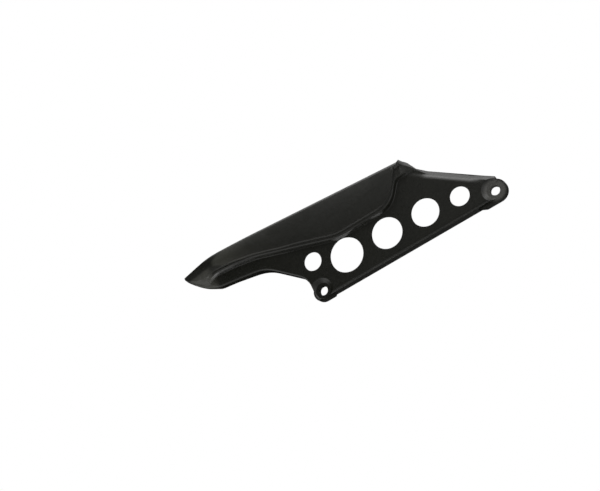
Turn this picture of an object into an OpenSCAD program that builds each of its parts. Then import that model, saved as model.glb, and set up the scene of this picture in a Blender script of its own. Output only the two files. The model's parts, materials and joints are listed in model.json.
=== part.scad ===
// Moulded chain guard for the drive side of a motorcycle swingarm, one piece.
// Frame as mounted: the origin is the centre of the front fixing bore on the seat of its lug,
// +X runs rearward through both bores, +Z is up, and the chain runs on the +Y side of the plate.
// All sizes are in millimetres.

/* [Fixing lugs] */
// Distance between the two fixing bores
lug_pitch = 220; // [212:1:235]
// Diameter of the fixing bores
bore_d = 11; // [8:0.5:13]
// Thickness of a fixing lug along its bore
lug_length = 6; // [4:0.5:8]
// How far the face of a lug is set back from the side plate
pad_sink = 4.5; // [3:0.25:5]
// Radius of the dish round a lug, at its floor
dish_floor_r = 9; // [8.5:0.25:10]
// Radius of the dish where it meets the side plate
dish_mouth_r = 13.8; // [12:0.2:14.4]
// Distance of the front edge of the plate ahead of the front bore
front_edge = 10.3; // [10:0.1:11.5]
// Radius of the round part of the front lug
front_lug_r = 11.2; // [11:0.1:12]
// Radius of the round end of the rear lug
rear_lug_r = 12.8; // [12.5:0.1:13.5]

/* [Side plate] */
// Wall thickness of the moulding
wall = 2.5; // [2:0.1:3]
// Distance of the lower edge below the line through the bores
lower_drop = 9; // [8:0.25:10]
// Depth of the flange that turns inward along the lower edge
flange_depth = 14; // [10:0.5:16]
// Outer radius of the bend between plate and lower flange
edge_r = 3.2; // [3.1:0.1:4]
// Depth of the flange along the sloping rear edge
rear_flange_depth = 9; // [7:0.5:12]
// Width of the strip that slopes inward along the rear edge
rear_strip = 5.5; // [3:0.5:6.5]
// Slope of that strip against the plate
rear_strip_tilt = 27; // [15:1:35]
// Outer radius of the rolled rear edge
rear_roll_r = 3.5; // [3:0.25:5]

/* [Lightening holes] */
// Diameter of the small hole above the front lug
small_hole_d = 22; // [14:0.5:23]
// Height of the small hole above the bore line
small_hole_z = 35.5; // [34:0.25:37]
// Distance of the small hole behind the front bore
small_hole_x = 3.8; // [2:0.1:5]
// Distance of the front rim of the first large hole behind the front bore
first_rim_x = 23; // [22:0.25:26]
// Web left between neighbouring large holes
hole_web = 13.6; // [10:0.2:14]
// Diameter of the first large hole
hole_1_d = 40.5; // [30:0.5:41]
// Diameter of the second large hole
hole_2_d = 36.5; // [28:0.5:37]
// Diameter of the third large hole
hole_3_d = 32.5; // [24:0.5:33]
// Diameter of the fourth large hole
hole_4_d = 22.5; // [16:0.5:24]
// Height of the lowest point of the large holes above the bore line
hole_floor_z = 1.2; // [0:0.2:2]
// Extra height of the fourth large hole
hole_4_lift = 0.8; // [0:0.2:2]

/* [Housing] */
// Step from the side plate out to the rim of the housing
step_h = 5; // [3:0.25:6]
// How far the panel stands out from the side plate
panel_h = 7; // [6.5:0.25:9]
// Crown of the panel between its crease and the roof
panel_crown = 1.2; // [0:0.1:2]
// Radius of the roll between panel and roof
roof_roll_r = 3.5; // [3:0.25:8]
// Depth of the roof over the chain, from the side plate's outer face
roof_depth = 28; // [20:1:36]
// Height of the ridge round the rear end of the housing
rim_h = 1.3; // [0:0.1:2]
// Distance of the rear ridge behind the front bore, at its foot
ridge_x = 138.4; // [136:0.2:140]
// Rearward lean of the ridge from foot to roof
ridge_lean = 6; // [3:0.5:8]

/* [Nose] */
// Reach of the nose ahead of the front bore
nose_reach = 154.5; // [148:0.5:160]
// Height of the nose tip above the bore line
nose_z = 100; // [98:0.25:102]
// How far the nose curves inward over its length
nose_in = 8; // [0:0.5:12]

/* [Hidden] */
bore_fn = 72;
cut = 1;
plastic = [0.07, 0.07, 0.075];

// Where the housing ends and its step runs out into the rolled rear edge
housing_end_x = ridge_x + 18;
housing_end_z = 67.8;
// Where the rolled rear edge reaches the rear lug
rear_edge_end = [lug_pitch + 8, 13];
plate_end_x = lug_pitch + 2;
// How far the roof line runs on past the plate's end
end_lean = 5;
// Where the nose begins to curve inward
nose_bend_x = -20;
// Height of the blunt tip
tip_h = 4.5;
// Share of the lower flange's depth that is left towards the nose
flange_share = [[-nose_reach, 0.35], [-118, 0.7], [-95, 0.68], [-58, 1]];
// Hollow of the closed nose's inboard face
nose_hollow = 0.6;
// Height that the step, crease and roll of a rib need above its foot
full_room = 15.5;
// Rise from the band along the step to the crease of the panel, as a share of what is left to rise
band_share = 0.25;

// Centre of each lug's round part from its bore, and the foot that carries it on along the lower edge
front_lug_off = [-1.1, -0.6];
rear_lug_off = [0.6, -0.2];
front_foot = [
    [front_lug_off[0], front_lug_off[1] - front_lug_r, 0],
    [10.6, front_lug_off[1] - front_lug_r, 1.5],
    [10.6, 1 - lower_drop, 0],
    [front_lug_off[0], 1 - lower_drop, 0]
];
rear_foot = [
    [-14, 1 - lower_drop, 0],
    [-26, 0.5 - lower_drop, 0],
    [-16.5, rear_lug_off[1] - rear_lug_r, 2.5],
    [rear_lug_off[0], rear_lug_off[1] - rear_lug_r, 0],
    [rear_lug_off[0], 1 - lower_drop, 0]
];
// Shoulder that carries the rear lug on up to the rolled rear edge, and its outer depth
rear_shoulder = [[7, 12.3], [1.5, 16.7], [-9, 25], [-9, 8], [7, 8]];
shoulder_depth = 3.2;
// Room inside the plate's edges for the cup that joins each lug to the plate
front_room = [[1 - front_edge, 1 - lower_drop], [40, 1 - lower_drop], [40, 40], [1 - front_edge, 40]];
rear_room = [[-40, 1 - lower_drop], [1.5, 1 - lower_drop], [1.5, 12.5], [-40, 17.5]];

// Corner points of the four lines that shape the side view, each with the radius that rounds it
lower_line = [
    [-nose_reach, nose_z, 0],
    [-nose_reach + 4.5, nose_z - 6, 12],
    [-136, 80.3, 60],
    [-116, 69.8, 18],
    [-53.5, 59, 50],
    [-front_edge, 20.4, 22],
    [-front_edge, -lower_drop, 8],
    [plate_end_x, -lower_drop, 0]
];
step_line = [
    [-nose_reach, nose_z, 0],
    [-135, 76.5, 2],
    [-114, 84.5, 24],
    [-88, 81.5, 120],
    [-58, 75.2, 120],
    [42, 41.5, 50],
    [112.9, 41.5, 48],
    [131.7, housing_end_z - 0.8, 6],
    [housing_end_x, housing_end_z - 0.4, 0]
];
crease_line = [
    [-nose_reach, nose_z + 1.5, 0],
    [-132, 87, 30],
    [-98, 87.6, 80],
    [-77, 83.6, 60],
    [4, 61.6, 200],
    [44, 47.6, 50],
    [118.3, 47.6, 42],
    [137.2, 85, 0]
];
top_line = [
    [-nose_reach, nose_z + tip_h, 0],
    [-117, 109.6, 200],
    [ridge_x + ridge_lean - 3.5, 84.9, 2],
    [ridge_x + ridge_lean, 84.5, 4],
    [ridge_x + 12, 80.0, 12],
    [housing_end_x, housing_end_z, 2.5],
    rear_edge_end
];

// A line through corner points, each corner rounded by an arc in steps of about 6 degrees
function unit(v) = v / norm(v);
function flat(p) = [p[0], p[1]];
function corner_arc(a, b, c, r) =
    let (
        u = unit(flat(a) - flat(b)),
        v = unit(flat(c) - flat(b)),
        half = acos(max(-1, min(1, u * v))) / 2,
        reach = min(r / tan(half), 0.49 * norm(flat(a) - flat(b)), 0.49 * norm(flat(c) - flat(b))),
        rr = reach * tan(half),
        centre = flat(b) + unit(u + v) * rr / sin(half),
        start = flat(b) + u * reach - centre,
        stop = flat(b) + v * reach - centre,
        turn = 180 - 2 * half,
        steps = max(2, ceil(turn / 6))
    )
    [for (i = [0:steps])
        let (f = i / steps, s = sin(turn))
        centre + (sin((1 - f) * turn) * start + sin(f * turn) * stop) / s];
function rounded(line) = concat(
    [flat(line[0])],
    [for (i = [1:len(line) - 2])
        each (line[i][2] > 0 ? corner_arc(line[i - 1], line[i], line[i + 1], line[i][2]) : [flat(line[i])])],
    [flat(line[len(line) - 1])]
);
lower_path = rounded(lower_line);
step_path = rounded(step_line);
crease_path = rounded(crease_line);
top_path = rounded(top_line);
function step_z(x) = lookup(x, step_path);
function crease_z(x) = lookup(x, crease_path);
function top_z(x) = lookup(x, top_path);

// Points at most one spacing apart along a path
function gap_at(x) = x < -100 ? 4.5 : x > -62 && x < -40 || x > -26 ? 5 : 8;
function dense(path) = concat(
    [for (i = [0:len(path) - 2])
        let (
            a = path[i],
            b = path[i + 1],
            n = max(1, ceil(norm(b - a) / 2))
        )
        each [for (k = [0:n - 1]) a + (b - a) * k / n]],
    [path[len(path) - 1]]
);
front_feet = [for (p = dense(lower_path)) if (p[0] < 3) p];
function thinned(path, i, last) =
    i >= len(path) ? [] :
    norm(path[i] - last) >= gap_at(path[i][0]) * 0.8
        ? concat([path[i]], thinned(path, i + 1, path[i]))
        : thinned(path, i + 1, last);
rear_feet = concat(
    [for (x = [8:6:26]) x],
    [for (x = [30:4:58]) x],
    [for (x = [67:7:81]) x],
    [for (i = [0:19]) 87 + (ridge_x - 3 - 87) * i / 19],
    [ridge_x - 1.5, ridge_x, ridge_x + 1.5],
    [for (i = [1:6]) ridge_x + 1.5 + (housing_end_x - ridge_x - 1.5) * i / 6],
    [for (i = [1:7]) housing_end_x + (plate_end_x - housing_end_x) * i / 7]
);
feet = concat(
    [lower_path[0]],
    thinned(front_feet, 1, lower_path[0]),
    [for (x = rear_feet) [x, -lower_drop]]
);
// The direction square to the lower edge at each foot, into the plate
inward = [for (i = [0:len(feet) - 1])
    let (d = feet[min(i + 1, len(feet) - 1)] - feet[max(i - 1, 0)])
    unit([-d[1], d[0]])];

// Each rib of the moulding runs from a foot on the lower edge, over the step, to the roof line
function clamp(v, lo, hi) = max(lo, min(hi, v));
function lean(p) = p[0] > -3
    ? lookup(p[0], [[-3, 13.5], [8, 8.5], [60, 0]])
    : lookup(p[1], [[-6.6, 14], [2, 11.3], [16, 4], [27, 2], [50, -6], [72, -8]]) * (1 + p[0] / nose_reach);
function roof_x(p) = p[0] + 1.5 * lean(p)
    + lookup(p[0], [[ridge_x - 30, 0], [ridge_x, ridge_lean], [housing_end_x, 0], [lug_pitch - 20, 0], [plate_end_x, end_lean]]);
function step_x(p) = p[0] + lean(p);
function sweep(x) = x > nose_bend_x ? 0 : nose_in * pow((nose_bend_x - x) / (nose_reach + nose_bend_x), 2);
function fade(x, a, b) = let (f = clamp((x - a) / (b - a), 0, 1)) f * f * (3 - 2 * f);
// Share of the housing's height at a foot: full along the housing, none behind it
function housing_share(x) = clamp((housing_end_x - x) / (housing_end_x - ridge_x), 0, 1);
function ridge_share(x) = max(0, 1 - abs(x - ridge_x) / 3);

// One rib as points [along, across], for the outer skin (t = 0) or the inner one (t = wall)
function quarter(cu, cy, ru, ry, from, to, n) =
    [for (i = [0:n]) let (a = from + (to - from) * i / n) [cu + ru * cos(a), cy + ry * sin(a)]];
function rib_profile(p, bend, length, step_u, crease_u, roll_r, strip, tilt, close, t) =
    let (
        x = p[0],
        small = min(1, length / 30),
        share = housing_share(x),
        nose = fade(x, -nose_reach, -100),
        in = sweep(x),
        he = bend,
        low_depth = flange_depth * lookup(x, flange_share),
        hs = step_h * share * fade(x, -136, -112),
        hp = panel_h * share * (0.5 + 0.5 * nose) + rim_h * ridge_share(x),
        ramp = 0.85 * hp * (1 - fade(x, -138, -122)) / (crease_u - he),
        rr = roll_r,
        depth = (rear_flange_depth + (roof_depth - rear_flange_depth) * share) * (0.2 + 0.8 * nose),
        foot_r = 1.5 * small,
        lip_r = 1.8 * close,
        draft = 0.8 * close,
        te = min(t, he - 0.3 * small),
        tr = min(t, rr - 0.3 * small),
        tk = t * min(1, 1.5 * close),
        wall_share = min(1, hs / step_h * 2),
        drop_y = 0.7 * t * wall_share,
        half_y = 0.3 * t * wall_share,
        back_u = t * min(1, close) * wall_share,
        foot_y = min(foot_r, 0.3 * hs),
        lip_y = min(lip_r, 0.4 * hs),
        roll_u = length - rr,
        roll_y = in - hp + strip * sin(tilt) + rr * cos(tilt),
        knee_u = roll_u + rr * sin(tilt) - strip * cos(tilt),
        crown = panel_crown * share * nose
    )
    concat(
        [[te, in + low_depth]],
        quarter(he, in + he, -(he - te), -(he - te), 0, 90, 3),
        [for (q = [
            [(he + step_u - foot_r) / 2, in],
            [step_u - foot_r, in],
            [step_u - foot_r * 0.3 + back_u * 0.7, in - foot_y * 0.3 - half_y],
            [step_u + back_u, in - foot_y - drop_y],
            [step_u + draft + back_u * 0.9, in - hs + lip_y - drop_y],
            [step_u + draft + lip_r * 0.3 + back_u * 0.75, in - hs + lip_y * 0.3 - half_y],
            [step_u + draft + lip_r + back_u * 0.6, in - hs - (hp - hs) * band_share * 0.6],
            [crease_u - 1.3 * close, in - hs - (hp - hs) * band_share]
        ]) [q[0], q[1] - ramp * (q[0] - he) + t]],
        [[crease_u, in - hp + t]],
        [for (f = [0.33, 0.67])
            [crease_u + (knee_u - crease_u) * f, in - hp - crown * (1 - pow(2 * f - 1, 2)) + tk]],
        [[knee_u - min(tk * tan(tilt / 2), 0.2 * (knee_u - crease_u)), in - hp + tk]],
        quarter(roll_u, roll_y, rr - tr, -(rr - tr), 90 - tilt, 0, 4),
        [[length - tr, in + depth]]
    );

// Places the points of a rib in space: square to the edge up to its knee, then to step and roof
function rib(i, t) =
    let (
        p = feet[i],
        top = [roof_x(p), top_z(roof_x(p)) + rim_h * ridge_share(p[0])],
        whole = norm(top - p),
        small = min(1, whole / 30),
        raw = [step_x(p), step_z(step_x(p))],
        least = (edge_r + 2.2) * small,
        low = norm(raw - p) < least || raw[1] < p[1] + least * 0.8,
        room = lookup(p[0], [[housing_end_x, full_room / 4], [housing_end_x + 8, full_room]]),
        past = p[0] > housing_end_x - 0.01 || top[1] - raw[1] < room && p[0] > ridge_x,
        step = past ? p + unit(top - p) * (whole - room) : low ? p + unit(top - p) * least : raw,
        bend = edge_r * small,
        knee = p + inward[i] * bend,
        step_u = bend + norm(step - knee),
        upper = norm(top - step),
        length = step_u + upper,
        close = min(small, upper / full_room),
        cx = step[0] + (top[0] - step[0]) * 0.3,
        wish = (crease_z(cx) - step[1]) / (top[1] - step[1]) * upper,
        share = housing_share(p[0]),
        rr = (rear_roll_r + (roof_roll_r - rear_roll_r) * share) * close * (0.4 + 0.6 * fade(p[0], -nose_reach, -100)),
        tilt = max(0.5, rear_strip_tilt * (1 - share)),
        strip = max(0.6, rear_strip * (1 - share)) * close,
        edge_room = rr * (1 - sin(tilt)) + strip * cos(tilt),
        crease_u = step_u + clamp(past ? 0 : wish, 5.6 * close, upper - edge_room - 1.6 * close),
        a = unit(step - knee),
        b = unit(top - step),
        profile = rib_profile(p, bend, length, step_u, crease_u, rr, strip, tilt, close, t)
    )
    [for (q = profile)
        let (
            u = q[0],
            xz = u <= bend ? p + inward[i] * u : u <= step_u ? knee + a * (u - bend) : step + b * (u - step_u)
        )
        [xz[0], q[1], xz[1]]];

// The nose closes: its inner skin flattens on to the line between flange and roof edges
function closed_nose(outer, inner, x) =
    let (
        w = fade(x, -nose_reach + 8, -118),
        first = outer[0],
        last = outer[len(outer) - 1],
        n = len(outer) - 1
    )
    [for (i = [0:n])
        let (
            f = (i + 0.5) / (n + 1),
            floor_p = first + (last - first) * f - [0, nose_hollow * (0.4 + sin(180 * f)), 0]
        )
        floor_p + (inner[i] - floor_p) * w];

module shell() {
    outer = [for (i = [0:len(feet) - 1]) rib(i, 0)];
    inner = [for (i = [0:len(feet) - 1]) closed_nose(outer[i], rib(i, wall), feet[i][0])];
    n = len(outer[0]);
    m = len(outer);
    points = concat([for (r = outer) each r], [for (r = inner) each r]);
    far = n * m;
    skin = [for (i = [0:m - 2]) for (j = [0:n - 2])
        let (a = i * n + j, b = a + 1, c = a + n + 1, d = a + n)
        each [[a, b, c], [a, c, d], [far + a, far + c, far + b], [far + a, far + d, far + c]]];
    lips = [for (i = [0:m - 2]) for (j = [0, n - 1])
        let (a = i * n + j, d = a + n)
        each (j == 0
            ? [[a, d, far + d], [a, far + d, far + a]]
            : [[a, far + d, d], [a, far + a, far + d]])];
    ends = [for (i = [0, m - 1]) for (j = [0:n - 2])
        let (a = i * n + j, b = a + 1)
        each (i == 0
            ? [[a, far + a, b], [b, far + a, far + b]]
            : [[a, b, far + b], [a, far + b, far + a]])];
    polyhedron(points = points, faces = concat(skin, lips, ends), convexity = 8);
}

// A round solid or cut about an axis across the guard, from one depth to another
module across(x, z, from, to, r1, r2) {
    translate([x, from, z])
        rotate([-90, 0, 0])
            cylinder(h = to - from, r1 = r1, r2 = r2, $fn = bore_fn);
}

// A flat outline in the side view, made solid from one depth to another
module slab(outline, from, to) {
    translate([0, to, 0])
        rotate([90, 0, 0])
            linear_extrude(height = to - from)
                polygon(outline);
}

// Fixing lug: a flat tab set back from the plate, and the cup that joins it to the plate
module lug(x, off, r, foot, room) {
    depth = pad_sink + lug_length;
    across(x + off[0], off[1], pad_sink, depth, r, r);
    slab([for (q = rounded(foot)) q + [x, 0]], pad_sink, depth);
    intersection() {
        across(x, 0, wall / 2, pad_sink + wall, dish_mouth_r + wall, dish_floor_r + wall);
        slab([for (q = room) q + [x, 0]], 0, depth);
    }
}

module lug_cut(x) {
    steep = (dish_mouth_r - dish_floor_r) / pad_sink;
    across(x, 0, -cut, pad_sink, dish_mouth_r + steep * cut, dish_floor_r);
    across(x, 0, -cut, pad_sink + lug_length + cut, bore_d / 2, bore_d / 2);
}

large_d = [hole_1_d, hole_2_d, hole_3_d, hole_4_d];
function sum_to(i) = i < 0 ? 0 : large_d[i] + hole_web + sum_to(i - 1);
module lightening_holes() {
    through = wall + cut;
    across(small_hole_x, small_hole_z, -cut, through, small_hole_d / 2, small_hole_d / 2);
    for (i = [0:3]) {
        r = large_d[i] / 2;
        lift = i == 3 ? hole_4_lift : 0;
        across(first_rim_x + sum_to(i - 1) + r, hole_floor_z + lift + r, -cut, through, r, r);
    }
}

module chain_guard() {
    color(plastic)
        translate([0, -pad_sink, 0])
            difference() {
                union() {
                    shell();
                    lug(0, front_lug_off, front_lug_r, front_foot, front_room);
                    lug(lug_pitch, rear_lug_off, rear_lug_r, rear_foot, rear_room);
                    slab([for (q = rear_shoulder) q + [lug_pitch, 0]], shoulder_depth, pad_sink + lug_length);
                }
                lug_cut(0);
                lug_cut(lug_pitch);
                lightening_holes();
            }
}

chain_guard();
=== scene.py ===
"""Looks of a moulded motorcycle chain guard: satin black plastic on a plain studio stage"""

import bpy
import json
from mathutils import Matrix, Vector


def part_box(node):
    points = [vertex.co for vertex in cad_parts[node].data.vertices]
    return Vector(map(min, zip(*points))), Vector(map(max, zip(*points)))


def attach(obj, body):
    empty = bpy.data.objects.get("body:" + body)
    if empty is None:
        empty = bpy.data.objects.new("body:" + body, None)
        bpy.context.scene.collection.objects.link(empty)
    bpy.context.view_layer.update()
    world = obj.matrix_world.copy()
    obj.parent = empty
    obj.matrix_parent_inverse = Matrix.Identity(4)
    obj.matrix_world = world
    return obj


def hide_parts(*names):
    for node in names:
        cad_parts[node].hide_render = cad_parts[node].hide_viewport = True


bl_info = {
    "name": "Chain Guard Looks",
    "version": (1, 0, 0),
    "blender": (4, 5, 0),
    "location": "View3D > Sidebar > Chain Guard",
    "description": "Models the chain guard, finishes it in satin black plastic and sets its stage",
    "category": "Object",
}

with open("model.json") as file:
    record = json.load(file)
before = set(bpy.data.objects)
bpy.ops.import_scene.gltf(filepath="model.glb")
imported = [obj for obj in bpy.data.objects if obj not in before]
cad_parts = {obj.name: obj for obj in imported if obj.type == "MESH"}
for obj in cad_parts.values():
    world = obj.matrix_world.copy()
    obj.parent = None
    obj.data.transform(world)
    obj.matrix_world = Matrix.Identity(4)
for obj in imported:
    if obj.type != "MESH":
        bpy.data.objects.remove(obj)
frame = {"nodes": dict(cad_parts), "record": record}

import json
import math

import bpy
from bpy.props import FloatProperty, FloatVectorProperty, IntProperty, PointerProperty
from mathutils import Matrix, Vector

MM = 0.001
NODE = "chain_guard"

LOW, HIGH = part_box(NODE)
CENTRE = (LOW + HIGH) / 2
BORES = {mount["name"]: Vector(mount["pos_m"]) for mount in frame["record"]["mounts"]}
REAR_BORE = BORES["rear_bore"]

# Y of the side plate's outer face
PLATE_FACE = -4.5 * MM

# Slope from the solid's rear bend to its roll that bounds the outer skin: what lies deeper is inner skin
SKIN_SLOPE = 0.7
# Slack of the test for faces that lie within the bend, and of the test for corners of the outer skin
CUT_SLACK = 0.1 * MM
SKIN_SLACK = 0.2 * MM

# How many flow marks and how many mottles lie along a metre of the plastic
FLOW_SCALE = 22.0
MOTTLE_SCALE = 240.0
# Where most values of these two noises lie
FLOW_NOISE = (0.3, 0.7)
MOTTLE_NOISE = (0.25, 0.75)
# Shares of the seat's radius between which the painted light on the rear seat fades out
SEAT_LIGHT_FADE = (0.8, 1.1)

# How large a soft box looks: the cosine of the angle from its middle to its edge
WIDE = 0.70
NARROW = 0.92
SLIT = 0.97

# The soft boxes that the plastic mirrors: name, direction from the guard, size, strength
SOFT_BOXES = (
    ("rear top", (0.8, 0.3, 0.5), WIDE, 1.5),
    ("over the rear edge", (0.6, -0.3, 0.75), WIDE, 1.0),
    ("rear strip", (0.53, -0.55, 0.64), NARROW, 3.0),
    ("front top strip", (-0.2, -0.4, 0.9), NARROW, 1.3),
    ("rear top slit", (0.12, -0.4, 0.91), SLIT, 4.0),
    ("rear bend slit", (0.02, -0.58, 0.81), SLIT, 2.0),
    ("plate edge slit", (-0.03, -0.7, 0.71), SLIT, 0.8),
    ("top behind", (0.0, 0.3, 0.95), WIDE, 0.2),
    ("right of the camera", (0.4, -0.8, 0.45), WIDE, 0.25),
    ("at the camera", (0.2, -0.95, -0.2), WIDE, 0.18),
    ("left", (-0.9, -0.3, -0.3), WIDE, 1.1),
    ("left strip", (-0.8, -0.55, 0.0), NARROW, 0.8),
    ("right", (0.85, -0.4, -0.3), WIDE, 0.8),
    ("floor in front", (0.0, -0.55, -0.8), WIDE, 0.45),
    ("floor below", (-0.3, 0.2, -0.93), NARROW, 4.5),
    ("floor behind", (0.15, 0.75, -0.6), WIDE, 0.1),
)


# Sizes and colours that a user would change

class GuardEdges(bpy.types.PropertyGroup):
    """How the moulding's faces are merged, creased and bent along the rear edge"""
    merge_gap: FloatProperty(
        name="Merge gap", description="Distance under which corners of neighbouring faces become one",
        default=0.01 * MM, subtype="DISTANCE", unit="LENGTH")
    flat_angle: FloatProperty(
        name="Flat angle", description="Angle under which two faces count as one flat face",
        default=math.radians(0.4), subtype="ANGLE", unit="ROTATION")
    sharp_angle: FloatProperty(
        name="Sharp angle", description="Angle from which an edge shades as sharp",
        default=math.radians(24), subtype="ANGLE", unit="ROTATION")
    rear_edge_start: FloatVectorProperty(
        name="Rear edge start",
        description="Where the rolled rear edge leaves the housing, seen from the side",
        subtype="TRANSLATION", unit="LENGTH", size=3, default=(156.4 * MM, 0, 67.8 * MM))
    rear_edge_end: FloatVectorProperty(
        name="Rear edge end",
        description="Where the rolled rear edge meets the rear lug, seen from the side",
        subtype="TRANSLATION", unit="LENGTH", size=3, default=(228 * MM, 0, 13 * MM))
    rear_bend_start: FloatProperty(
        name="Rear bend start",
        description="Distance from the rear edge at which the plate begins to bend over",
        default=11 * MM, subtype="DISTANCE", unit="LENGTH")
    rear_bend_radius: FloatProperty(
        name="Rear bend radius", description="Radius of the soft bend along the rear edge",
        default=9.5 * MM, subtype="DISTANCE", unit="LENGTH")
    rear_knee: FloatProperty(
        name="Rear knee",
        description="Distance of the solid's own bend from the rear edge",
        default=5.41 * MM, subtype="DISTANCE", unit="LENGTH")
    rear_roll: FloatVectorProperty(
        name="Rear roll",
        description="Distance from the rear edge at which the roll starts, outside and inside",
        unit="LENGTH", size=2, default=(1.52 * MM, 2.8 * MM))
    rear_strip_slope: FloatProperty(
        name="Rear strip slope",
        description="Slope of the solid's strip between its own bend and the roll",
        default=0.643, min=0)
    rear_bend_rows: IntProperty(
        name="Rear bend rows", description="Number of rows of faces across the soft bend",
        default=10, min=2)
    rear_edge_fade: FloatVectorProperty(
        name="Rear edge fade",
        description="Length over which the bend grows and fades, and length left free at the rear lug",
        unit="LENGTH", size=2, default=(14 * MM, 13 * MM))


class GuardFinish(bpy.types.PropertyGroup):
    """Satin black plastic of the moulding"""
    black: FloatVectorProperty(
        name="Black", description="Colour of the plastic", subtype="COLOR", size=3,
        min=0, max=1, default=(0.0068, 0.0070, 0.0046))
    # Partly painted light: the panel is a shade lighter than the plate, partly for its grain and partly
    # to stand in for the light it catches
    panel_black_and_light: FloatVectorProperty(
        name="Panel black",
        description="Colour of the grained panel that stands out from the plate",
        subtype="COLOR", size=3, min=0, max=1, default=(0.0078, 0.0080, 0.0054))
    # Painted light: this lighter colour on the panel's front end stands in for the light that falls on
    # the curved nose
    nose_painted_light: FloatVectorProperty(
        name="Nose black",
        description="Colour of the panel's front end, which road grit has dulled",
        subtype="COLOR", size=3, min=0, max=1, default=(0.0265, 0.0265, 0.0200))
    # Reach of the painted light on the nose
    nose_light_reach: FloatVectorProperty(
        name="Nose reach",
        description="X from the front bore at which the dulling starts and at which it is full",
        unit="LENGTH", size=2, default=(-20 * MM, -130 * MM))
    # Painted light: this lighter colour on the rear seat stands in for the light that falls on the rear
    # lug
    seat_painted_light: FloatVectorProperty(
        name="Seat black", description="Colour of the rear seat, which use has rubbed",
        subtype="COLOR", size=3, min=0, max=1, default=(0.055, 0.054, 0.049))
    roughness: FloatProperty(
        name="Roughness", description="Roughness of the satin surface", default=0.30, min=0, max=1)
    panel_roughness: FloatProperty(
        name="Panel roughness", description="Roughness of the grained panel", default=0.38, min=0, max=1)
    panel_rise: FloatProperty(
        name="Panel rise",
        description="How far a surface stands out from the plate to count as the panel",
        default=4 * MM, subtype="DISTANCE", unit="LENGTH")
    # Painted light: the keel's inward facet is painted with the panel's lighter colour and the nose's,
    # for the light that falls on it
    facet_light_reach: FloatVectorProperty(
        name="Nose facet",
        description="X from the front bore at which the keel's inward facet starts and is full",
        unit="LENGTH", size=2, default=(-112 * MM, -122 * MM))
    facet_light_height: FloatVectorProperty(
        name="Nose facet height",
        description="Heights at which the keel's inward facet starts and is full, from above",
        unit="LENGTH", size=2, default=(98 * MM, 94 * MM))
    grain_size: FloatProperty(
        name="Grain size", description="Size of the fine grain that the mould leaves",
        default=0.55 * MM, subtype="DISTANCE", unit="LENGTH")
    grain_depth: FloatProperty(
        name="Grain depth", description="Depth of the fine grain",
        default=0.012 * MM, subtype="DISTANCE", unit="LENGTH")
    # Size of the painted light round the rear bore
    seat_light_radius: FloatProperty(
        name="Rub radius", description="Radius of the rubbed ring round the rear bore",
        default=12 * MM, subtype="DISTANCE", unit="LENGTH")
    flow_shade: FloatVectorProperty(
        name="Flow shade", description="Share of the colour in the darkest and the lightest flow marks",
        size=2, min=0, default=(0.88, 1.14))
    mottle: FloatVectorProperty(
        name="Mottle", description="How far the roughness falls and rises from spot to spot",
        size=2, default=(-0.05, 0.06))


class GuardStage(bpy.types.PropertyGroup):
    """Floor, light and camera"""
    floor_level: FloatProperty(
        name="Floor level", description="Height of the floor", default=-0.62,
        subtype="DISTANCE", unit="LENGTH")
    floor_size: FloatProperty(
        name="Floor size", description="Length of a side of the floor", default=60.0,
        subtype="DISTANCE", unit="LENGTH")
    floor_colour: FloatVectorProperty(
        name="Floor colour", description="Colour of the floor", subtype="COLOR", size=3,
        min=0, max=1, default=(0.86, 0.86, 0.86))
    soft_level: FloatProperty(
        name="Soft level", description="Strength of the even light from all round", default=1.0, min=0)
    lamp_power: FloatProperty(
        name="Lamp power", description="Power of the soft box over the guard", default=3.0, min=0,
        unit="POWER")
    lamp_offset: FloatVectorProperty(
        name="Lamp offset", description="Way from the middle of the guard to that soft box",
        subtype="TRANSLATION", unit="LENGTH", size=3, default=(0.05, -0.15, 1.0))
    lamp_size: FloatVectorProperty(
        name="Lamp size", description="Width and depth of that soft box",
        unit="LENGTH", size=2, default=(1.1, 0.7))
    camera_place: FloatVectorProperty(
        name="Camera place", description="Where the camera stands", subtype="TRANSLATION",
        unit="LENGTH", size=3, default=(0.3159, -1.0045, -0.3949))
    camera_back: FloatVectorProperty(
        name="Camera back", description="Direction from the guard towards the camera",
        subtype="XYZ", size=3, default=(0.278, -0.874, -0.398))
    camera_right: FloatVectorProperty(
        name="Camera right", description="Direction of the picture's right-hand side",
        subtype="XYZ", size=3, default=(0.822, 0.431, -0.372))
    lens: FloatProperty(
        name="Lens", description="Focal length of the camera in millimetres", default=60.0)
    sensor: FloatProperty(
        name="Sensor", description="Width of the camera's sensor in millimetres", default=36.0)


# Materials

def add_node(tree, kind, place, **settings):
    """A shader node at its place in the tree, with its settings and input values"""
    node = tree.nodes.new(kind)
    node.location = place
    for name, value in settings.items():
        if name in node.inputs:
            node.inputs[name].default_value = value
        else:
            setattr(node, name, value)
    return node


def join(tree, source, output, target, entry):
    tree.links.new(source.outputs[output], target.inputs[entry])


def new_material(name):
    material = bpy.data.materials.new(name)
    material.use_nodes = True
    tree = material.node_tree
    tree.nodes.clear()
    return material, tree


def remap(tree, place, span, result, kind="LINEAR"):
    """A node that runs from the first result to the second while its input crosses the span"""
    limits = {"From Min": span[0], "From Max": span[1], "To Min": result[0], "To Max": result[1]}
    return add_node(tree, "ShaderNodeMapRange", place, interpolation_type=kind, **limits)


def share_along(tree, axis, span, place):
    """0 up to the start of a span along an axis of the object, 1 from the span's end on"""
    spot = add_node(tree, "ShaderNodeTexCoord", place)
    parts = add_node(tree, "ShaderNodeSeparateXYZ", (place[0] + 180, place[1]))
    share = remap(tree, (place[0] + 360, place[1]), span, (0, 1), "SMOOTHSTEP")
    join(tree, spot, "Object", parts, 0)
    join(tree, parts, axis, share, 0)
    return share


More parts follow.
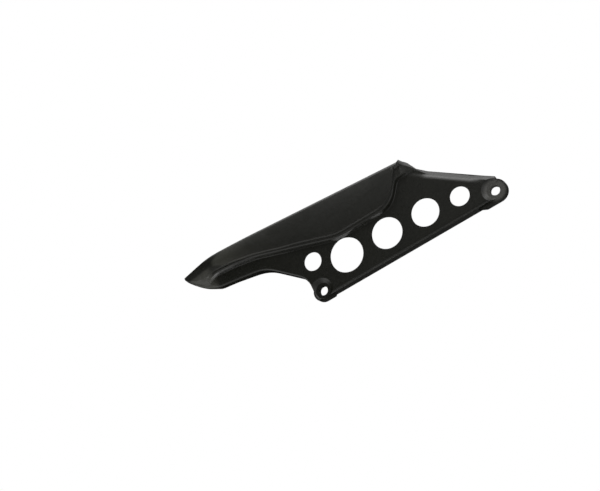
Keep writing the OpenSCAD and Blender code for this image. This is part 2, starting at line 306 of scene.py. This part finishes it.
def seat_light_mask(tree, radius):
    """1 on the rear seat round the rear bore, where light is painted, and 0 elsewhere"""
    spot = add_node(tree, "ShaderNodeTexCoord", (-1500, -500))
    flat = add_node(tree, "ShaderNodeVectorMath", (-1300, -500), operation="MULTIPLY")
    flat.inputs[1].default_value = (1, 0, 1)
    away = add_node(tree, "ShaderNodeVectorMath", (-1120, -500), operation="DISTANCE")
    away.inputs[1].default_value = (REAR_BORE.x, 0, REAR_BORE.z)
    fade = [radius * share for share in SEAT_LIGHT_FADE]
    seat = remap(tree, (-940, -500), fade, (1, 0), "SMOOTHSTEP")
    join(tree, spot, "Object", flat, 0)
    join(tree, flat, 0, away, 0)
    join(tree, away, "Value", seat, 0)
    return seat


def mixed(tree, share, low, high, place):
    """A colour that runs from low to high with the share; each is a colour or a node's output"""
    mix = add_node(tree, "ShaderNodeMix", place, data_type="RGBA")
    join(tree, share, 0, mix, 0)
    for entry, colour in ((6, low), (7, high)):
        if isinstance(colour, bpy.types.NodeSocket):
            tree.links.new(colour, mix.inputs[entry])
        else:
            mix.inputs[entry].default_value = (*colour, 1)
    return mix.outputs[2]


def guard_plastic(finish):
    """Satin black plastic with moulded grain and flow marks, and painted light on the nose, its keel
    facet and the rear seat
    """
    material, tree = new_material("satin_black_plastic")
    spot = add_node(tree, "ShaderNodeTexCoord", (-1500, 200))
    noise = "ShaderNodeTexNoise"
    flow = add_node(tree, noise, (-1240, 420), Scale=FLOW_SCALE, Detail=3.0, Roughness=0.55)
    mottle = add_node(tree, noise, (-1240, 160), Scale=MOTTLE_SCALE, Detail=4.0, Roughness=0.6)
    grain = add_node(tree, noise, (-1240, -100), Scale=1.0 / finish.grain_size, Detail=2.0)
    for texture in (flow, mottle, grain):
        join(tree, spot, "Object", texture, "Vector")

    # 1 on the panel and on the keel's inward facet, 0 on the plate. On the facet this paints light: the
    # facet takes the panel's lighter colour, and the nose's, for the light that falls on it
    step_top = PLATE_FACE - finish.panel_rise
    housing = share_along(tree, "Y", (step_top, step_top - MM), (-1500, -1100))
    forward = share_along(tree, "X", finish.facet_light_reach, (-1500, -1600))
    below = share_along(tree, "Z", finish.facet_light_height, (-1500, -1850))
    facet = add_node(tree, "ShaderNodeMath", (-940, -1700), operation="MULTIPLY")
    raised = add_node(tree, "ShaderNodeMath", (-760, -1100), operation="MAXIMUM")
    join(tree, forward, 0, facet, 0)
    join(tree, below, 0, facet, 1)
    join(tree, housing, 0, raised, 0)
    join(tree, facet, 0, raised, 1)

    # Colour: plate or panel, the panel lighter partly for its grain and partly as painted light, more
    # painted light on the nose and the keel facet, darker and lighter along the flow marks, and painted
    # light on the rear seat
    # Painted light on the nose: the panel is painted lighter towards its front end
    nose_light_share = share_along(tree, "X", finish.nose_light_reach, (-1500, -1350))
    panel = mixed(tree, nose_light_share, finish.panel_black_and_light, finish.nose_painted_light, (-1180, 900))
    plain = mixed(tree, raised, finish.black, panel, (-980, 700))
    shade = remap(tree, (-980, 420), FLOW_NOISE, finish.flow_shade)
    join(tree, flow, "Fac", shade, 0)
    black = add_node(tree, "ShaderNodeVectorMath", (-760, 420), operation="SCALE")
    tree.links.new(plain, black.inputs[0])
    join(tree, shade, 0, black, "Scale")
    # Painted light on the rear seat
    seat_lit = seat_light_mask(tree, finish.seat_light_radius)
    colour = mixed(tree, seat_lit, black.outputs[0], finish.seat_painted_light, (-480, 380))

    # Roughness: the plate's or the panel's, with fine mottles
    mottled = remap(tree, (-980, 160), MOTTLE_NOISE, finish.mottle)
    join(tree, mottle, "Fac", mottled, 0)
    gloss = remap(tree, (-980, -100), (0, 1), (finish.roughness, finish.panel_roughness))
    join(tree, raised, 0, gloss, 0)
    satin = add_node(tree, "ShaderNodeMath", (-760, 160), operation="ADD")
    join(tree, gloss, 0, satin, 0)
    join(tree, mottled, 0, satin, 1)

    relief = add_node(tree, "ShaderNodeBump", (-480, -60), Strength=1.0, Distance=finish.grain_depth)
    join(tree, grain, "Fac", relief, "Height")

    shader = add_node(tree, "ShaderNodeBsdfPrincipled", (-200, 200), IOR=1.5)
    tree.links.new(colour, shader.inputs["Base Color"])
    join(tree, satin, 0, shader, "Roughness")
    join(tree, relief, 0, shader, "Normal")
    output = add_node(tree, "ShaderNodeOutputMaterial", (100, 200))
    join(tree, shader, 0, output, "Surface")
    return material


def floor_paper(colour):
    """Pale matt paper of the floor"""
    material, tree = new_material("floor_paper")
    shader = add_node(tree, "ShaderNodeBsdfPrincipled", (-200, 0), Roughness=0.9)
    shader.inputs["Base Color"].default_value = (*colour, 1)
    output = add_node(tree, "ShaderNodeOutputMaterial", (100, 0))
    join(tree, shader, 0, output, "Surface")
    return material


# Modelling

def select_only(piece):
    bpy.ops.object.select_all(action="DESELECT")
    piece.select_set(True)
    bpy.context.view_layer.objects.active = piece


def apply_all(piece):
    select_only(piece)
    for modifier in list(piece.modifiers):
        bpy.ops.object.modifier_apply(modifier=modifier.name)


def merged_copy(node, name, edges):
    """A copy of a node of the frame, with its loose triangles merged into whole faces"""
    piece = frame["nodes"][node].copy()
    piece.data = frame["nodes"][node].data.copy()
    piece.name = name
    piece.data.name = name
    for key in list(piece.keys()):
        if key.startswith("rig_"):
            del piece[key]
    bpy.context.scene.collection.objects.link(piece)
    piece.parent = None
    select_only(piece)
    bpy.ops.object.mode_set(mode="EDIT")
    bpy.ops.mesh.customdata_custom_splitnormals_clear()
    bpy.ops.mesh.select_all(action="SELECT")
    bpy.ops.mesh.remove_doubles(threshold=edges.merge_gap)
    bpy.ops.mesh.dissolve_limited(angle_limit=edges.flat_angle)
    bpy.ops.object.mode_set(mode="OBJECT")
    return piece


def cut(piece, wanted, place, normal):
    """Cut the wanted faces along a plane; wanted says yes or no to a face's corners"""
    select_only(piece)
    bpy.ops.object.mode_set(mode="EDIT")
    bpy.ops.mesh.select_mode(type="FACE")
    bpy.ops.mesh.select_all(action="DESELECT")
    bpy.ops.object.mode_set(mode="OBJECT")
    for face in piece.data.polygons:
        face.select = wanted([piece.data.vertices[index].co for index in face.vertices])
    bpy.ops.object.mode_set(mode="EDIT")
    bpy.ops.mesh.bisect(plane_co=place, plane_no=normal)
    bpy.ops.object.mode_set(mode="OBJECT")


def bend_rear_edge(piece, edges):
    """Turn the two-step bend along the rear edge into one soft curve that fades at its ends"""
    start = Vector(edges.rear_edge_start)
    run = Vector(edges.rear_edge_end) - start
    along = run.normalized()
    inside = Vector((along.z, 0, -along.x))
    roll, inner_roll = edges.rear_roll
    begin = edges.rear_bend_start
    fade, lug_room = edges.rear_edge_fade
    deepest = PLATE_FACE + SKIN_SLOPE * (edges.rear_knee - roll)

    def on_skin(face_corners):
        """Whether a face belongs to the outer skin and reaches past the housing"""
        reach = max((corner - start).dot(along) for corner in face_corners)
        return reach > 0 and max(corner.y for corner in face_corners) < deepest

    def in_bend(face_corners):
        """Whether a face of the outer skin lies within the bend"""
        across = max((corner - start).dot(inside) for corner in face_corners)
        return across < begin + CUT_SLACK and on_skin(face_corners)

    rows = edges.rear_bend_rows
    for row in range(rows):
        across = roll + (begin - roll) * (row + 1) / rows
        cut(piece, on_skin, start + inside * across, inside)
    fade_out = run.length - lug_room - fade
    for reach in (fade / 2, fade, fade_out, fade_out + fade / 2, fade_out + fade):
        cut(piece, in_bend, start + along * reach, along)

    def press(across):
        """How far the soft curve lies inward of the solid at a distance from the rear edge"""
        across = max(across, roll)
        curve = (begin - across) ** 2 / (2 * edges.rear_bend_radius)
        return curve - max(0, edges.rear_knee - across) * edges.rear_strip_slope

    group = piece.vertex_groups.new(name="rear_bend")
    full = press(roll)
    for corner in piece.data.vertices:
        offset = corner.co - start
        reach = offset.dot(along)
        across = offset.dot(inside)
        skin = corner.co.y < deepest + SKIN_SLACK
        if across >= begin or not (across < inner_roll or skin):
            continue
        share = min(1, reach / fade, (run.length - lug_room - reach) / fade)
        if share > 0:
            depth = press(across) if skin else full
            group.add([corner.index], share * depth / full, "REPLACE")
    bend = piece.modifiers.new("bend", "DISPLACE")
    bend.direction = "Y"
    bend.mid_level = 0
    bend.strength = full
    bend.vertex_group = group.name


class GUARD_OT_add_moulding(bpy.types.Operator):
    """Model the one-piece moulding with its soft rear bend and its satin finish"""
    bl_idname = "guard.add_moulding"
    bl_label = "Add Moulding"
    bl_options = {"REGISTER", "UNDO"}

    def execute(self, context):
        edges = context.scene.guard_edges
        piece = merged_copy(NODE, "guard_moulding", edges)
        bend_rear_edge(piece, edges)
        apply_all(piece)
        bpy.ops.object.shade_smooth_by_angle(angle=edges.sharp_angle)
        piece.modifiers.new("even_shading", "WEIGHTED_NORMAL").keep_sharp = True
        apply_all(piece)
        if len(piece.data.polygons) == 0:
            raise RuntimeError("the moulding has no faces")
        piece.data.materials.clear()
        piece.data.materials.append(guard_plastic(context.scene.guard_finish))
        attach(piece, "root")
        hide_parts(NODE)
        return {"FINISHED"}


# Stage

def mirrored_room(tree):
    """The light that the plastic mirrors: the sum of all soft boxes"""
    spot = add_node(tree, "ShaderNodeTexCoord", (-1500, 0))
    total = None
    for row, (label, direction, size, strength) in enumerate(SOFT_BOXES):
        height = -200 * row
        toward = add_node(tree, "ShaderNodeVectorMath", (-1300, height), operation="DOT_PRODUCT")
        toward.label = label
        toward.inputs[1].default_value = Vector(direction).normalized()
        box = remap(tree, (-1120, height), (size, 1), (0, strength), "SMOOTHSTEP")
        join(tree, spot, "Generated", toward, 0)
        join(tree, toward, "Value", box, 0)
        if total is None:
            total = box
        else:
            both = add_node(tree, "ShaderNodeMath", (-940, height), operation="ADD")
            join(tree, total, 0, both, 0)
            join(tree, box, 0, both, 1)
            total = both
    return total


def studio_world(soft_level):
    """White backdrop for what the camera sees, and a soft studio round the guard"""
    world = bpy.data.worlds.new("studio")
    bpy.context.scene.world = world
    world.use_nodes = True
    tree = world.node_tree
    tree.nodes.clear()
    path = add_node(tree, "ShaderNodeLightPath", (-800, 500))
    room = add_node(tree, "ShaderNodeBackground", (-500, 0))
    join(tree, mirrored_room(tree), 0, room, "Strength")
    soft = add_node(tree, "ShaderNodeBackground", (-500, -200), Strength=soft_level)
    white = add_node(tree, "ShaderNodeBackground", (-500, 200), Strength=1.0)
    for shader in (room, soft, white):
        shader.inputs["Color"].default_value = (1, 1, 1, 1)
    seen = add_node(tree, "ShaderNodeMixShader", (-200, 0))
    join(tree, path, "Is Glossy Ray", seen, 0)
    join(tree, soft, 0, seen, 1)
    join(tree, room, 0, seen, 2)
    shown = add_node(tree, "ShaderNodeMixShader", (0, 100))
    join(tree, path, "Is Camera Ray", shown, 0)
    join(tree, seen, 0, shown, 1)
    join(tree, white, 0, shown, 2)
    output = add_node(tree, "ShaderNodeOutputWorld", (200, 100))
    join(tree, shown, 0, output, "Surface")


def top_soft_box(stage):
    """A rectangular soft lamp over the guard, turned to its middle"""
    offset = Vector(stage.lamp_offset)
    bpy.ops.object.light_add(type="AREA", location=CENTRE + offset)
    lamp = bpy.context.object
    lamp.name = "top_soft_box"
    lamp.data.shape = "RECTANGLE"
    lamp.data.size, lamp.data.size_y = stage.lamp_size
    lamp.data.energy = stage.lamp_power
    lamp.rotation_euler = (-offset).to_track_quat("-Z", "Y").to_euler()


class GUARD_OT_add_stage(bpy.types.Operator):
    """Set the floor, the soft light, the white backdrop and the camera"""
    bl_idname = "guard.add_stage"
    bl_label = "Add Stage"
    bl_options = {"REGISTER", "UNDO"}

    def execute(self, context):
        stage = context.scene.guard_stage
        bpy.ops.object.select_all(action="DESELECT")
        bpy.ops.mesh.primitive_plane_add(size=stage.floor_size, location=(0, 0, stage.floor_level))
        floor = context.object
        floor.name = "studio_floor"
        floor.visible_glossy = False
        floor.data.materials.append(floor_paper(stage.floor_colour))
        studio_world(stage.soft_level)
        top_soft_box(stage)
        self.add_camera(context, stage)
        context.scene.view_settings.view_transform = "Standard"
        return {"FINISHED"}

    def add_camera(self, context, stage):
        back = Vector(stage.camera_back).normalized()
        up = back.cross(Vector(stage.camera_right)).normalized()
        right = up.cross(back)
        turned = Matrix((right, up, back)).transposed().to_4x4()
        bpy.ops.object.camera_add()
        camera = context.object
        camera.name = "studio_camera"
        camera.matrix_world = Matrix.Translation(stage.camera_place) @ turned
        camera.data.lens = stage.lens
        camera.data.sensor_fit = "HORIZONTAL"
        camera.data.sensor_width = stage.sensor
        context.scene.camera = camera


class GUARD_PT_looks(bpy.types.Panel):
    """Lists the steps that dress the guard and their settings"""
    bl_label = "Chain Guard"
    bl_idname = "GUARD_PT_looks"
    bl_space_type = "VIEW_3D"
    bl_region_type = "UI"
    bl_category = "Chain Guard"

    def draw(self, context):
        layout = self.layout
        scene = context.scene
        for operator, groups in (("guard.add_moulding", (scene.guard_edges, scene.guard_finish)),
                                 ("guard.add_stage", (scene.guard_stage,))):
            box = layout.box()
            box.operator(operator)
            for group in groups:
                for name in group.__annotations__:
                    box.prop(group, name)


CLASSES = (
    GuardEdges,
    GuardFinish,
    GuardStage,
    GUARD_OT_add_moulding,
    GUARD_OT_add_stage,
    GUARD_PT_looks,
)


def register():
    for cls in CLASSES:
        bpy.utils.register_class(cls)
    bpy.types.Scene.guard_edges = PointerProperty(type=GuardEdges)
    bpy.types.Scene.guard_finish = PointerProperty(type=GuardFinish)
    bpy.types.Scene.guard_stage = PointerProperty(type=GuardStage)


def unregister():
    del bpy.types.Scene.guard_stage
    del bpy.types.Scene.guard_finish
    del bpy.types.Scene.guard_edges
    for cls in reversed(CLASSES):
        bpy.utils.unregister_class(cls)


def main():
    register()
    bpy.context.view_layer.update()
    bpy.ops.guard.add_moulding()
    bpy.ops.guard.add_stage()


if __name__ == "__main__":
    main()
